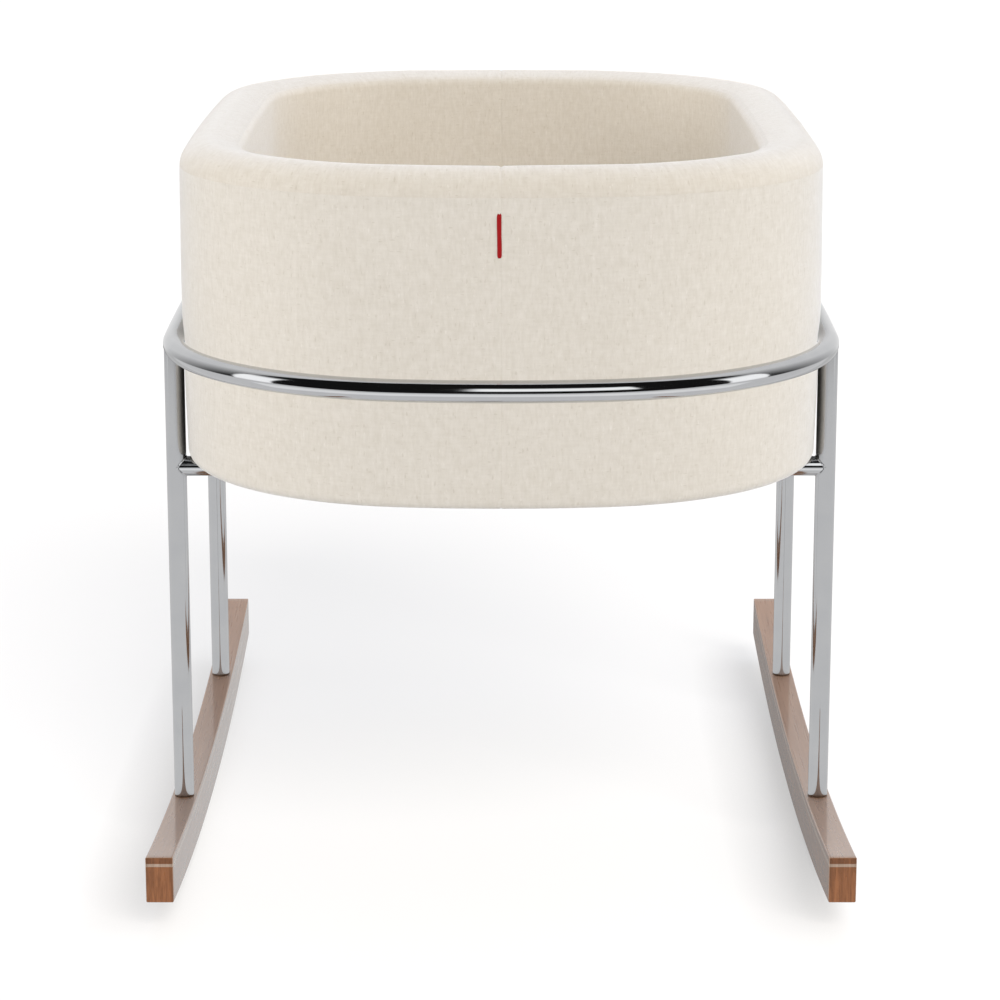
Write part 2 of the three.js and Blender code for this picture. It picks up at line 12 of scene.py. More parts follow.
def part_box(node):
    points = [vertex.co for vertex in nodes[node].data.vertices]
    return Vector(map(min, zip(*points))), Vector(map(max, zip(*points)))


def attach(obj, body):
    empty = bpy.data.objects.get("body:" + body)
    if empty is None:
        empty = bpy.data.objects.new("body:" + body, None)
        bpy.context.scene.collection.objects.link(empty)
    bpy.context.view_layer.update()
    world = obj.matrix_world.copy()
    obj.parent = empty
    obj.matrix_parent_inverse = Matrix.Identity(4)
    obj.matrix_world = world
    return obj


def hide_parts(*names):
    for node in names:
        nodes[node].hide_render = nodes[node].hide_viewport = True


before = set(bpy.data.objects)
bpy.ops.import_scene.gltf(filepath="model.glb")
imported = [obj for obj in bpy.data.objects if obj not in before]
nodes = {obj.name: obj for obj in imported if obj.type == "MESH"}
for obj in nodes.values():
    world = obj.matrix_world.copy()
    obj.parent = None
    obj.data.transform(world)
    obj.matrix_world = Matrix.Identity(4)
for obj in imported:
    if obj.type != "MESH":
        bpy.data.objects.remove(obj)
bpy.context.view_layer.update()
MM = 0.001

# Ring outline in plan
RING_HALF_WIDTH = 292.8
RING_HALF_LENGTH = 417.4
RING_SIDE_R = 9000.0
RING_CORNER_R = 237.9
RING_END_R = 681.3
RING_Z = 471.3
RING_R = 9.45

# Legs, cross tubes and rockers
LEG_X = 290.29
LEG_Y = 195.0
TUBE_R = 8.9
TUBE_BORE_R = 7.4
CROSS_Z = 358.5
ROCKER_LENGTH = 835.8
ROCKER_WIDTH = 23.3
ROCKER_HEIGHT = 43.2
SOLE_R = 3117.0
TOP_R = 3494.0
FLAT = 48.0
CAP = 5.4
STRIPE = 2.6
COUNTERBORE = 14.0
COUNTERBORE_R = 8.3
FREE_R = 1.1
GLUED_R = 0.12
WORN = 0.9
SUPPORT = 2.5  # rows beside a cut end, which keep the shading of the long quads between them flat
WELD_GAP = 0.1

# Tub
TUB_INSET = 9.95
TUB_BOTTOM = 367.7
TUB_TOP = 652.6
OUTER_R = 23.5
INNER_R = 29.8
RIM_FULL_R = 107.0
TURN_STEPS = 9
WALL = 54.0
RIM_DRAW = 0.7
BASE_DRAW = 2.4
EDGE_R = 9.0
HEM = 36.0
CLOTH = 1.2
SKIN = 1.5
SHELL_INSET = 11.8
FOAM_INSET = 21.1
SEAM_Z = TUB_TOP - OUTER_R
STITCH = 7.5
BULGE_LEFT = 2.1
BULGE_RIGHT = 2.6
RIM_FOAM_Z = 618.6
BOARD_TOP = 381.2
LINING_BOTTOM = BOARD_TOP + 0.3
LINER_TOP = 382.5
TUB_BOLT_X = LEG_X - 110.0

# Mattress
PAD_CLEAR = 3.0
PAD_THICK = 38.0
PAD_R = 14.0
PAD_CROWN = 4.0
PAD_DEPTH = 3.4
PAD_SWELL = 3.0
SHEET_PROUD = 1.15
SHEET_THICK = 0.6
SHEET_HEM = 48.0
PAD_VOXEL = 6.0
CLOTH_FRAMES = 20

# Ribbon tab
TAB_LENGTH = 36.0
TAB_BELOW_RIM = 36.0
TAB_THICK = 0.8
TAB_REACH = 5.4
TAB_HALF = 1.85
TAB_X = -1.4
TAB_STEPS = 32

# Steps once round a section
ROUND_SIDES = 64
BEAD_SIDES = 10
RING_SIDES = 48
CORNERS = {"front_left": (-1, -1), "front_right": (1, -1), "rear_left": (-1, 1), "rear_right": (1, 1)}


# Outline of the ring and the tub in plan


def quarter_rays(side_steps, corner_steps, end_steps, seam_offsets):
    """Centre, radius and angle of the outline's points in the first quarter, as in the part's source."""
    side = Vector((RING_HALF_WIDTH - RING_SIDE_R, 0))
    end = Vector((0, RING_HALF_LENGTH - RING_END_R))
    from_side = RING_SIDE_R - RING_CORNER_R
    from_end = RING_END_R - RING_CORNER_R
    link = end - side
    apart = link.length
    along = (from_side**2 - from_end**2 + apart**2) / (2 * apart)
    across = math.sqrt(from_side**2 - along**2)
    link.normalize()
    corner = side + link * along + Vector((-link.y, link.x)) * across
    side_angle = math.atan2(corner.y - side.y, corner.x - side.x)
    end_angle = math.atan2(corner.y - end.y, corner.x - end.x)
    rays = []
    for i in range(1, side_steps + 1):
        rays.append((side.x, side.y, RING_SIDE_R, side_angle * i / side_steps))
    for i in range(1, corner_steps + 1):
        angle = side_angle + (end_angle - side_angle) * i / corner_steps
        rays.append((corner.x, corner.y, RING_CORNER_R, angle))
    span = math.pi / 2 - end_angle
    beside_seam = [math.pi / 2 - offset / RING_END_R for offset in seam_offsets]
    angles = [end_angle + span * i / end_steps for i in range(1, end_steps)]
    angles = [a for a in angles if all(abs(a - b) > 0.35 * span / end_steps for b in beside_seam)]
    for angle in sorted(angles + beside_seam + [math.pi / 2]):
        rays.append((end.x, end.y, RING_END_R, angle))
    return rays


def outline_rays(side_steps=16, corner_steps=28, end_steps=16, seam_offsets=()):
    """Rays of the whole outline, from the middle of the rear, over the left side and the front, and back."""
    quarter = quarter_rays(side_steps, corner_steps, end_steps, seam_offsets)
    right_rear = [(RING_HALF_WIDTH - RING_SIDE_R, 0.0, RING_SIDE_R, 0.0)] + quarter
    left_rear = [(-x, y, r, math.pi - a) for x, y, r, a in reversed(right_rear)]
    left_front = [(x, -y, r, -a) for x, y, r, a in reversed(left_rear)]
    right_front = [(-x, y, r, math.pi - a) for x, y, r, a in reversed(left_front)]
    return left_rear + left_front[1:] + right_front[1:] + right_rear[1:-1]


SEAM_OFFSETS = (0.5, 1.1, 1.9, 3.0, 4.5, 6.5, 9.0, 12.0, 16.0)
FINE = outline_rays(seam_offsets=SEAM_OFFSETS)
PLAIN = outline_rays(side_steps=8, corner_steps=16, end_steps=8)


def plan(rays, inset):
    """Points of the outline, moved inward from the ring's centre line."""
    rays = np.array(rays)
    reach = rays[:, 2] - inset
    return np.stack([rays[:, 0] + reach * np.cos(rays[:, 3]), rays[:, 1] + reach * np.sin(rays[:, 3])], axis=1)


def arc_length(points):
    """Way from the first point to each point, and back round to the first."""
    steps = np.linalg.norm(np.diff(np.vstack([points, points[:1]]), axis=0), axis=1)
    return np.concatenate([[0], np.cumsum(steps)])


HALF_GIRTH = float(arc_length(plan(FINE, TUB_INSET))[-1]) / 2


# Meshes


def linked(name, data):
    """A new object, put into the scene."""
    obj = bpy.data.objects.new(name, data)
    bpy.context.scene.collection.objects.link(obj)
    return obj


def mesh_object(name, verts, faces, uvs=None, smooth=True):
    mesh = bpy.data.meshes.new(name)
    mesh.from_pydata([tuple(float(c) * MM for c in v) for v in verts], [], faces)
    if uvs is not None:
        layer = mesh.uv_layers.new(name="UVMap")
        flat = np.array([c for face in uvs for uv in face for c in uv], dtype=np.float32) * MM
        layer.data.foreach_set("uv", flat)
    mesh.validate()
    bm = bmesh.new()
    bm.from_mesh(mesh)
    bmesh.ops.recalc_face_normals(bm, faces=bm.faces)
    bm.to_mesh(mesh)
    bm.free()
    mesh.polygons.foreach_set("use_smooth", [smooth] * len(mesh.polygons))
    return linked(name, mesh)


def soften(obj, degrees=35):
    """Smooth shading that keeps edges sharper than an angle."""
    obj.data.set_sharp_from_angle(angle=math.radians(degrees))
    return obj


def sweep(name, profile, rays, base_inset=TUB_INSET, closed=True, shift=None, caps=False, level=()):
    """A profile of (inset, height) carried round the outline, with shift's offsets along its own normal.

    The points whose numbers are in level keep their height and move only outwards.
    """
    profile = np.array(profile, dtype=float)
    rows, count = len(profile), len(rays)
    length = arc_length(plan(rays, base_inset))
    half = length[-1] / 2
    v_at = arc_length(profile)
    grid = np.zeros((count, rows, 3))
    normals = profile_normals(profile, closed)
    rays = np.array(rays)
    for j, (inset, height) in enumerate(profile):
        place = np.full(count, inset)
        z = np.full(count, height)
        if shift is not None:
            out = np.array([shift(length[k] - half, v_at[j], j, rays[k][3]) for k in range(count)])
            outward, upward = (1.0, 0.0) if j in level else normals[j]
            place = place - out * outward
            z = z + out * upward
        reach = rays[:, 2] - base_inset - place
        grid[:, j, 0] = rays[:, 0] + reach * np.cos(rays[:, 3])
        grid[:, j, 1] = rays[:, 1] + reach * np.sin(rays[:, 3])
        grid[:, j, 2] = z
    faces, uvs = [], []
    for k in range(count):
        n = (k + 1) % count
        for j in range(rows if closed else rows - 1):
            i = (j + 1) % rows
            faces.append((k * rows + j, n * rows + j, n * rows + i, k * rows + i))
            u0, u1 = length[k] - half, length[k + 1] - half
            uvs.append(((u0, v_at[j]), (u1, v_at[j]), (u1, v_at[j + 1]), (u0, v_at[j + 1])))
    if caps:
        for j in (0, rows - 1):
            ring = [k * rows + j for k in range(count)]
            faces.append(tuple(ring if j else reversed(ring)))
            uvs.append([(grid[k // rows, k % rows, 0], grid[k // rows, k % rows, 1]) for k in faces[-1]])
    return mesh_object(name, grid.reshape(-1, 3), faces, uvs)


def profile_normals(profile, closed):
    """Outward direction at each profile point, as (towards the outside, up)."""
    out = []
    last = len(profile) - 1
    for j in range(len(profile)):
        before = profile[j - 1] if (closed or j) else profile[j]
        after = profile[(j + 1) % len(profile)] if (closed or j < last) else profile[j]
        along = after - before
        size = float(np.hypot(*along)) or 1.0
        out.append((along[1] / size, along[0] / size))
    return out


def around(sides):
    """Angles once round."""
    return [2 * math.pi * i / sides for i in range(sides)]


def grid_object(name, rows, close_ends=False):
    """Rows of points of equal count joined by quads. Each row runs round once."""
    verts = [p for row in rows for p in row]
    count = len(rows[0])
    faces = []
    for r in range(len(rows) - 1):
        for i in range(count):
            n = (i + 1) % count
            faces.append((r * count + i, r * count + n, (r + 1) * count + n, (r + 1) * count + i))
    if close_ends:
        faces.append(tuple(reversed(range(count))))
        faces.append(tuple((len(rows) - 1) * count + i for i in range(count)))
    return mesh_object(name, verts, faces)


def ring_object(name, rows):
    """Rows of points joined by quads, with the last row joined to the first."""
    obj = grid_object(name, rows + rows[:1])
    bm = bmesh.new()
    bm.from_mesh(obj.data)
    bmesh.ops.remove_doubles(bm, verts=bm.verts, dist=0.00002)
    bmesh.ops.recalc_face_normals(bm, faces=bm.faces)
    bm.to_mesh(obj.data)
    bm.free()
    return obj


def round_row(radius, z, x, y, lift=0.0):
    """Points round an upright axis. radius and z may be functions of the angle or the point."""
    row = []
    for angle in around(ROUND_SIDES):
        r = radius(angle) if callable(radius) else radius
        px, py = x + r * math.cos(angle), y + r * math.sin(angle)
        row.append((px, py, (z(px, py) if callable(z) else z) + lift))
    return row


def turned(x, y, *steps):
    """Rows round an upright axis from steps of (radius, z) or (radius, z, lift)."""
    return [round_row(radius, z, x, y, *lift) for radius, z, *lift in steps]


def bead(name, path, radius):
    """Thin closed tube along a closed path, such as a weld."""
    path = [Vector(p) for p in path]
    count = len(path)
    rows = []
    middle = sum(path, Vector()) / count
    for i, p in enumerate(path):
        along = (path[(i + 1) % count] - path[i - 1]).normalized()
        away = (p - middle).normalized()
        side = along.cross(away).normalized()
        up = side.cross(along).normalized()
        rows.append([tuple(p + radius * (math.cos(a) * up + math.sin(a) * side)) for a in around(BEAD_SIDES)])
    return ring_object(name, rows)


def joined(name, objects):
    """One object from several, keeping their places."""
    bm = bmesh.new()
    for obj in objects:
        bm.from_mesh(obj.data)
    mesh = bpy.data.meshes.new(name)
    bm.to_mesh(mesh)
    bm.free()
    for obj in objects:
        bpy.data.objects.remove(obj)
    return linked(name, mesh)


def carve(obj, cutters):
    """Cuts closed meshes away from obj and keeps the result as its mesh."""
    for cutter in cutters:
        mod = obj.modifiers.new("cut", "BOOLEAN")
        mod.operation = "DIFFERENCE"
        mod.solver = "EXACT"
        mod.object = cutter
    graph = bpy.context.evaluated_depsgraph_get()
    mesh = bpy.data.meshes.new_from_object(obj.evaluated_get(graph))
    obj.modifiers.clear()
    obj.data = mesh
    for cutter in cutters:
        bpy.data.objects.remove(cutter)


# Material graphs


class Graph:
    """Nodes of a material or a world, which starts empty."""

    def __init__(self, owner):
        owner.use_nodes = True
        self.tree = owner.node_tree
        self.tree.nodes.clear()
        self.shader = None

    def put(self, socket, value):
        if isinstance(value, bpy.types.NodeSocket):
            self.tree.links.new(value, socket)
        elif value is not None:
            socket.default_value = value

    def node(self, kind, inputs=None, **settings):
        """A node with its settings, and its inputs by name or number."""
        made = self.tree.nodes.new(kind)
        for key, value in settings.items():
            setattr(made, key, value)
        for key, value in (inputs or {}).items():
            self.put(made.inputs[key], value)
        return made

    def out(self, kind, inputs, **settings):
        """The first output of such a node."""
        return self.node(kind, inputs, **settings).outputs[0]

    def math(self, operation, a, b=None, clamp=False):
        return self.out("ShaderNodeMath", {0: a, 1: b}, operation=operation, use_clamp=clamp)

    def add(self, a, b, clamp=False):
        return self.math("ADD", a, b, clamp)

    def times(self, a, b):
        return self.math("MULTIPLY", a, b)

    def size(self, value):
        return self.math("ABSOLUTE", value)

    def waves(self, value, length):
        """Sine that comes back to nought every length metres."""
        return self.math("SINE", self.times(value, math.pi / length))

    def noise(self, vector, scale, detail=2.0, roughness=0.5, distortion=0.0, offset=(0, 0, 0)):
        """Noise at a scale, which is a number or one for each axis."""
        if isinstance(scale, tuple):
            vector = self.out("ShaderNodeMapping", {"Vector": vector, "Scale": scale, "Location": offset})
            scale = 1.0
        return self.out("ShaderNodeTexNoise", {"Vector": vector, "Scale": scale, "Detail": detail,
                                               "Roughness": roughness, "Distortion": distortion})

    def cells(self, vector, scale):
        return self.out("ShaderNodeTexVoronoi", {"Vector": vector, "Scale": scale})

    def span(self, value, low=0.3, high=0.7, to_low=0.0, to_high=1.0, smooth=False):
        inputs = {"Value": value, "From Min": low, "From Max": high, "To Min": to_low, "To Max": to_high}
        return self.out("ShaderNodeMapRange", inputs, interpolation_type="SMOOTHSTEP" if smooth else "LINEAR")

    def mix(self, factor, a, b):
        a, b = ((*value, 1) if isinstance(value, tuple) else value for value in (a, b))
        return self.node("ShaderNodeMix", {0: factor, 6: a, 7: b}, data_type="RGBA").outputs[2]

    def blend(self, factor, a, b):
        return self.out("ShaderNodeMix", {0: factor, 2: a, 3: b}, data_type="FLOAT")

    def bump(self, height, distance, strength, normal=None):
        return self.out("ShaderNodeBump", {"Height": height, "Distance": distance, "Strength": strength,
                                           "Normal": normal})

    def split(self, vector):
        return self.node("ShaderNodeSeparateXYZ", {0: vector}).outputs

    def coordinates(self, kind="Object"):
        return self.node("ShaderNodeTexCoord").outputs[kind]

    def openness(self, distance, direction=(None, None, None)):
        """How open a point's surroundings are, from 0 to 1, towards its own normal or a given direction."""
        leaning = self.out("ShaderNodeCombineXYZ", dict(enumerate(direction))) if any(direction) else None
        inputs = {"Distance": distance, "Normal": leaning}
        return self.node("ShaderNodeAmbientOcclusion", inputs, samples=8).outputs["AO"]

    def surface(self, **values):
        """Sets the shader's inputs, named with underscores for their spaces."""
        for key, value in values.items():
            self.put(self.shader.inputs[key.replace("_", " ")], value)


THREAD_PITCH = 0.0008
RIBBON_RIB = 0.0009
RIBBON_WALE = 0.0006
COTTON_WALE = 0.0011
COTTON_COURSE = 0.0009

# Where the rockers' end faces darken, in metres: away from their middle, and above the stripe
END_EDGE = (0.0085, 0.0118)
END_EDGE_SHADE = 0.68
END_CAP = (0.0624, 0.0632)
END_CAP_SHADE = 0.72


def new_material(name, **values):
    mat = bpy.data.materials.new(name)
    graph = Graph(mat)
    graph.shader = graph.node("ShaderNodeBsdfPrincipled")
    graph.node("ShaderNodeOutputMaterial", {0: graph.shader.outputs[0]})
    graph.surface(**values)
    return mat, graph


def woven(graph, uv, pitch):
    """Height of a plain weave, from 0 between threads to 1 on them."""
    parts = graph.split(uv)
    warp, weft = graph.waves(parts[0], pitch), graph.waves(parts[1], pitch)
    crossing = graph.times(warp, weft)
    over = graph.span(crossing, -0.6, 0.6, 0.35, 1.0)
    under = graph.span(crossing, -0.6, 0.6, 1.0, 0.35)
    across = graph.times(graph.size(warp), over)
    along = graph.times(graph.size(weft), under)
    return graph.math("MAXIMUM", across, along)


def linen(name, light, dark, sheen):
    """Linen with uneven threads: soft blotches, slubs up and across the cloth, and short flecks."""
    mat, graph = new_material(name, Roughness=0.9, Sheen_Weight=sheen, Sheen_Roughness=0.35,
                              Specular_IOR_Level=0.2)
    uv = graph.coordinates("UV")
    upright = graph.noise(uv, (360, 90, 1), detail=1, distortion=0.5)
    level = graph.noise(uv, (75, 420, 1), detail=1)
    blotch = graph.noise(uv, (150, 95, 1), detail=3, roughness=0.6)
    fleck = graph.noise(uv, (520, 170, 1), offset=(3.1, 7.7, 0), detail=0)
    cross_fleck = graph.noise(uv, (190, 640, 1), offset=(9.4, 1.3, 0), detail=0)
    cloud = graph.noise(uv, (13, 9, 1))
    weave = woven(graph, uv, THREAD_PITCH)
    tone = graph.times(graph.span(upright), 0.24)
    for part, share in ((graph.span(level), 0.16), (graph.span(blotch), 0.3), (graph.span(cloud), 0.1),
                        (weave, 0.2)):
        tone = graph.add(tone, graph.times(part, share))
    dark_flecks = graph.math("MAXIMUM", graph.span(fleck, 0.28, 0.18), graph.span(cross_fleck, 0.26, 0.16))
    tone = graph.math("SUBTRACT", tone, graph.times(dark_flecks, 0.45))
    pale_flecks = graph.span(fleck, 0.74, 0.84)
    tone = graph.add(tone, graph.times(pale_flecks, 0.35), clamp=True)
    slubs = graph.add(graph.span(upright, 0.45, 0.75), graph.times(graph.span(level, 0.5, 0.8), 0.6))
    normal = graph.bump(graph.add(slubs, pale_flecks), 0.00016, 0.5)
    graph.surface(Base_Color=graph.mix(tone, dark, light), Normal=graph.bump(weave, 0.00012, 0.7, normal))
    return mat


def chrome():
    mat, graph = new_material("chrome_plate", Metallic=1.0)
    place = graph.coordinates()
    haze = graph.noise(place, 38, detail=3)
    fine = graph.noise(place, (900, 900, 140))
    plate = graph.mix(graph.span(haze, 0.35, 0.65), (0.545, 0.552, 0.565), (0.57, 0.575, 0.585))
    # Painted shade: where other surfaces stand within 5 cm, the plate's colour goes to near black, so crevices
    # beside the cloth, the joints and the welds reflect dark.
    free_of_painted_shade = graph.span(graph.openness(0.05), 0.15, 0.7, 0.1, 1.0)
    graph.surface(Base_Color=graph.mix(free_of_painted_shade, (0.01, 0.01, 0.011), plate),
                  Roughness=graph.span(haze, 0.3, 0.7, 0.055, 0.08), Normal=graph.bump(fine, 0.000004, 0.3))
    return mat


def wood(name, light, dark, pores, end_light, end_dark, rough=(0.25, 0.35), coat=1.0):
    """Wood with its grain along Y, and its own colours on the end grain, darker at its edges and on the cap."""
    mat, graph = new_material(name, Coat_Weight=coat, Coat_Roughness=0.08, Coat_IOR=1.3, Specular_IOR_Level=0.2)
    place = graph.coordinates()
    facing = graph.split(graph.node("ShaderNodeNewGeometry").outputs["Normal"])[1]
    ends = graph.span(graph.size(facing), 0.8, 0.95)
    broad = graph.noise(place, (150, 5, 42), detail=4, roughness=0.6, distortion=0.8)
    streak = graph.noise(place, (520, 12, 170), detail=3, roughness=0.6)
    pore = graph.noise(place, (2100, 70, 2100), detail=1)
    tone = graph.add(graph.times(graph.span(broad), 0.6), graph.times(graph.span(streak), 0.4), clamp=True)
    colour = graph.mix(tone, dark, light)
    hollow = graph.span(pore, 0.62, 0.72, smooth=True)
    colour = graph.mix(graph.times(hollow, 0.16), colour, pores)
    rings = graph.noise(place, (430, 1, 38), detail=3, roughness=0.6, distortion=0.3)
    end_grain = graph.mix(graph.span(rings, 0.38, 0.62), end_dark, end_light)
    x, _, z = graph.split(place)
    off_middle = graph.size(graph.math("SUBTRACT", graph.size(x), LEG_X * MM))
    shade = graph.times(graph.span(off_middle, *END_EDGE, 1.0, END_EDGE_SHADE),
                        graph.span(z, *END_CAP, 1.0, END_CAP_SHADE))
    graph.surface(Base_Color=graph.mix(ends, colour, graph.mix(shade, (0, 0, 0), end_grain)),
                  Roughness=graph.span(streak, 0.3, 0.7, *rough),
                  Normal=graph.bump(graph.math("SUBTRACT", streak, hollow), 0.00003, 0.15))
    return mat


def foam():
    mat, graph = new_material("upholstery_foam", Roughness=1.0, Specular_IOR_Level=0.1)
    place = graph.coordinates()
    tone = graph.span(graph.noise(place, 60, detail=3))
    graph.surface(Base_Color=graph.mix(tone, (0.78, 0.70, 0.46), (0.86, 0.80, 0.58)),
                  Normal=graph.bump(graph.cells(place, 900), 0.0004, 0.6))
    return mat


def zinc():
    mat, graph = new_material("zinc_plate", Metallic=1.0)
    spangle = graph.noise(graph.coordinates(), 700)
    graph.surface(Base_Color=graph.mix(spangle, (0.52, 0.53, 0.55), (0.68, 0.69, 0.70)),
                  Roughness=graph.span(spangle, 0.3, 0.7, 0.28, 0.42), Normal=graph.bump(spangle, 0.00002, 0.5))
    return mat


def black_cloth():
    mat, graph = new_material("non_woven_cloth", Roughness=0.95, Specular_IOR_Level=0.15)
    place = graph.coordinates()
    fibres = graph.noise(place, (900, 900, 900), detail=3, distortion=2.0)
    height = graph.add(fibres, graph.span(graph.cells(place, 520), 0.1, 0.4))
    graph.surface(Base_Color=graph.mix(fibres, (0.018, 0.018, 0.019), (0.04, 0.04, 0.042)),
                  Normal=graph.bump(height, 0.0002, 0.6))
    return mat


def ribbon():
    mat, graph = new_material("red_ribbon", Roughness=0.75, Specular_IOR_Level=0.2)
    _, y, z = graph.split(graph.coordinates())
    height = graph.add(graph.waves(z, RIBBON_RIB / 2), graph.times(graph.waves(y, RIBBON_WALE / 2), 0.5))
    tone = graph.span(height, -1.2, 1.2)
    graph.surface(Base_Color=graph.mix(tone, (0.29, 0.006, 0.008), (0.44, 0.011, 0.012)),
                  Normal=graph.bump(height, 0.00006, 0.6))
    return mat


def cotton():
    mat, graph = new_material("cotton_jersey", Roughness=0.95, Sheen_Weight=0.2, Specular_IOR_Level=0.2)
    place = graph.coordinates()
    x, y, _ = graph.split(place)
    wales = graph.size(graph.waves(x, COTTON_WALE))
    courses = graph.size(graph.waves(y, COTTON_COURSE))
    knit = graph.times(wales, graph.span(courses, 0, 1, 0.6, 1.0))
    cloud = graph.noise(place, 18)
    tone = graph.add(graph.times(knit, 0.5), graph.times(cloud, 0.5))
    graph.surface(Base_Color=graph.mix(tone, (0.81, 0.775, 0.71), (0.91, 0.88, 0.825)),
                  Normal=graph.bump(knit, 0.0002, 0.5))
    return mat


LOOKS = {
    "chrome": chrome(),
    "walnut": wood("walnut_lacquered", (0.37, 0.20, 0.11), (0.25, 0.12, 0.06), (0.13, 0.06, 0.03),
                   (0.365, 0.14, 0.052), (0.235, 0.087, 0.03)),
    "maple": wood("maple_lacquered", (0.48, 0.34, 0.24), (0.41, 0.28, 0.19), (0.31, 0.20, 0.13),
                  (0.52, 0.38, 0.29), (0.42, 0.29, 0.21)),
    "plywood": wood("birch_plywood", (0.66, 0.49, 0.30), (0.52, 0.36, 0.20), (0.40, 0.26, 0.14),
                    (0.60, 0.43, 0.25), (0.42, 0.28, 0.15), rough=(0.55, 0.7), coat=0.0),
    "linen": linen("linen_outer", (0.85, 0.79, 0.705), (0.695, 0.63, 0.53), 0.8),
    "lining": linen("linen_lining", (0.84, 0.775, 0.68), (0.69, 0.615, 0.505), 0.45),
    "foam": foam(),
    "steel": zinc(),
    "black_cloth": black_cloth(),
    "ribbon": ribbon(),
    "cotton": cotton(),
}


def dress(obj, look):
    obj.data.materials.clear()
    obj.data.materials.append(LOOKS[look])


def finished(obj, look, *replaced, body="cradle", slot=None):
    dress(obj, look)
    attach(obj, body)
    slot or look
    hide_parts(*replaced)


# Metal frame


def ring_centre_x(y):
    """Half width of the ring's centre line near the legs."""
    points = plan(FINE, 0)
    right = points[(points[:, 0] > 0) & (np.abs(points[:, 1]) < 300)]
    order = np.argsort(right[:, 1])
    return float(np.interp(y, right[order, 1], right[order, 0]))


def make_ring():
    """Tube of the ring. It casts no shade on the cloth behind it, which the photograph shows evenly lit."""
    profile = [(-RING_R * math.cos(angle), RING_Z + RING_R * math.sin(angle)) for angle in around(RING_SIDES)]
    ring = sweep("ring_tube", profile, outline_rays(14, 40, 16), base_inset=0)
    ring.visible_diffuse = False
    ring.visible_shadow = False
    finished(ring, "chrome", "top_ring")


def rise(radius, y):
    return radius - math.sqrt(radius**2 - y**2)


def rocker_top(y):
    return ROCKER_HEIGHT + rise(TOP_R, y)


def rocker_sole(y):
    return max(rise(SOLE_R, y) - rise(SOLE_R, FLAT / 2), 0.0)


def make_leg(corner, sx, sy):
    x, y = sx * LEG_X, sy * LEG_Y
    here = ring_centre_x(LEG_Y)
    slope = (ring_centre_x(LEG_Y + 9) - ring_centre_x(LEG_Y - 9)) / 18

    def cope(px, py):
        away = abs(px) - (here + slope * (abs(py) - LEG_Y))
        return RING_Z - math.sqrt(max(RING_R**2 - away**2, 0)) + 0.15

    def foot(px, py):
        return rocker_top(py) + 0.05

    tube = ring_object(f"tube_{corner}", turned(
        x, y, (TUBE_BORE_R, foot), (TUBE_R - 0.5, foot), (TUBE_R - 0.15, foot, 0.15), (TUBE_R, foot, 0.5),
        (TUBE_R, foot, SUPPORT), (TUBE_R, 250.0), (TUBE_R, cope, -SUPPORT), (TUBE_R, cope),
        (TUBE_BORE_R, cope, 0.2)))
    path = round_row(TUBE_R - 0.35, cope, x, y, -0.25)
    leg = joined(f"leg_tube_{corner}", [tube, bead(f"weld_{corner}", path, 1.0)])
    finished(soften(leg), "chrome", f"leg_{corner}")


def make_cross_tube(place, sy):
    y = sy * LEG_Y

    def row(end, radius, inward=0.0):
        out = []
        for angle in around(ROUND_SIDES):
            dy, dz = radius * math.cos(angle), radius * math.sin(angle)
            reach = LEG_X - math.sqrt(max(TUBE_R**2 - dy**2, 0)) - WELD_GAP - inward
            out.append((end * reach, y + dy, CROSS_Z + dz))
        return out

    rows = [row(-1, TUBE_BORE_R), row(-1, TUBE_R), row(-1, TUBE_R, SUPPORT)]
    rows += [[(x, py, pz) for _, py, pz in row(1, TUBE_R)] for x in (-200.0, 0.0, 200.0)]
    rows += [row(1, TUBE_R, SUPPORT), row(1, TUBE_R), row(1, TUBE_BORE_R)]
    parts = [ring_object(f"bar_{place}", rows)]
    for end in (-1, 1):
        path = [(px + end * WELD_GAP, py, pz) for px, py, pz in row(end, TUBE_R - 0.2)]
        parts.append(bead(f"weld_{place}_{end + 1}", path, 0.8))
    finished(soften(joined(f"cross_bar_{place}", parts)), "chrome", f"cross_tube_{place}")


# Rockers


def stations():
    """Places along a rocker with how far the section is drawn in there, which rounds the ends."""
    half = ROCKER_LENGTH / 2
    inner = [(y, 0.0) for y in (-FLAT / 2, FLAT / 2, *np.linspace(-half + WORN, half - WORN, 97))]
    turns = (0.4, 0.8, 1.2, math.pi / 2)
    round_end = [(half - WORN * (1 - math.sin(t)), WORN * (1 - math.cos(t))) for t in turns]
    round_end.append((half, WORN + 0.5))
    return [(-y, d) for y, d in reversed(round_end)] + sorted(inner) + round_end


def rounded_section(half, low, high, low_r, high_r, steps=4):
    """Rectangle with rounded corners in X and Z."""
    out = []
    for cx, cz, radius, start in (
        (half - high_r, high - high_r, high_r, 0.0),
        (-half + high_r, high - high_r, high_r, math.pi / 2),
        (-half + low_r, low + low_r, low_r, math.pi),
        (half - low_r, low + low_r, low_r, 1.5 * math.pi),
    ):
        corner = [(cx + radius * math.cos(start + math.pi / 2 * i / steps),
                   cz + radius * math.sin(start + math.pi / 2 * i / steps)) for i in range(steps + 1)]
        ahead = (-0.5 * math.sin(start), 0.5 * math.cos(start))
        out.append((corner[0][0] - ahead[0], corner[0][1] - ahead[1]))
        out += corner
        out.append((corner[-1][0] - ahead[1], corner[-1][1] + ahead[0]))
    return out


def rocker_layer(name, side, lower, upper, low_free=False, high_free=False):
    """Layer between two curves. A free face has worn edges, and a glued one has sharp ones."""
    rows = []
    for y, drawn in stations():
        y = float(y)
        beyond = max(0.0, drawn - WORN)
        low = lower(y) + (drawn if low_free else beyond)
        high = upper(y) - (drawn if high_free else beyond)
        section = rounded_section(ROCKER_WIDTH / 2 - drawn, low, high, FREE_R if low_free else GLUED_R,
                                  FREE_R if high_free else GLUED_R)
        rows.append([(side * LEG_X + px, y, pz) for px, pz in section])
    return soften(grid_object(name, rows, close_ends=True), 40)


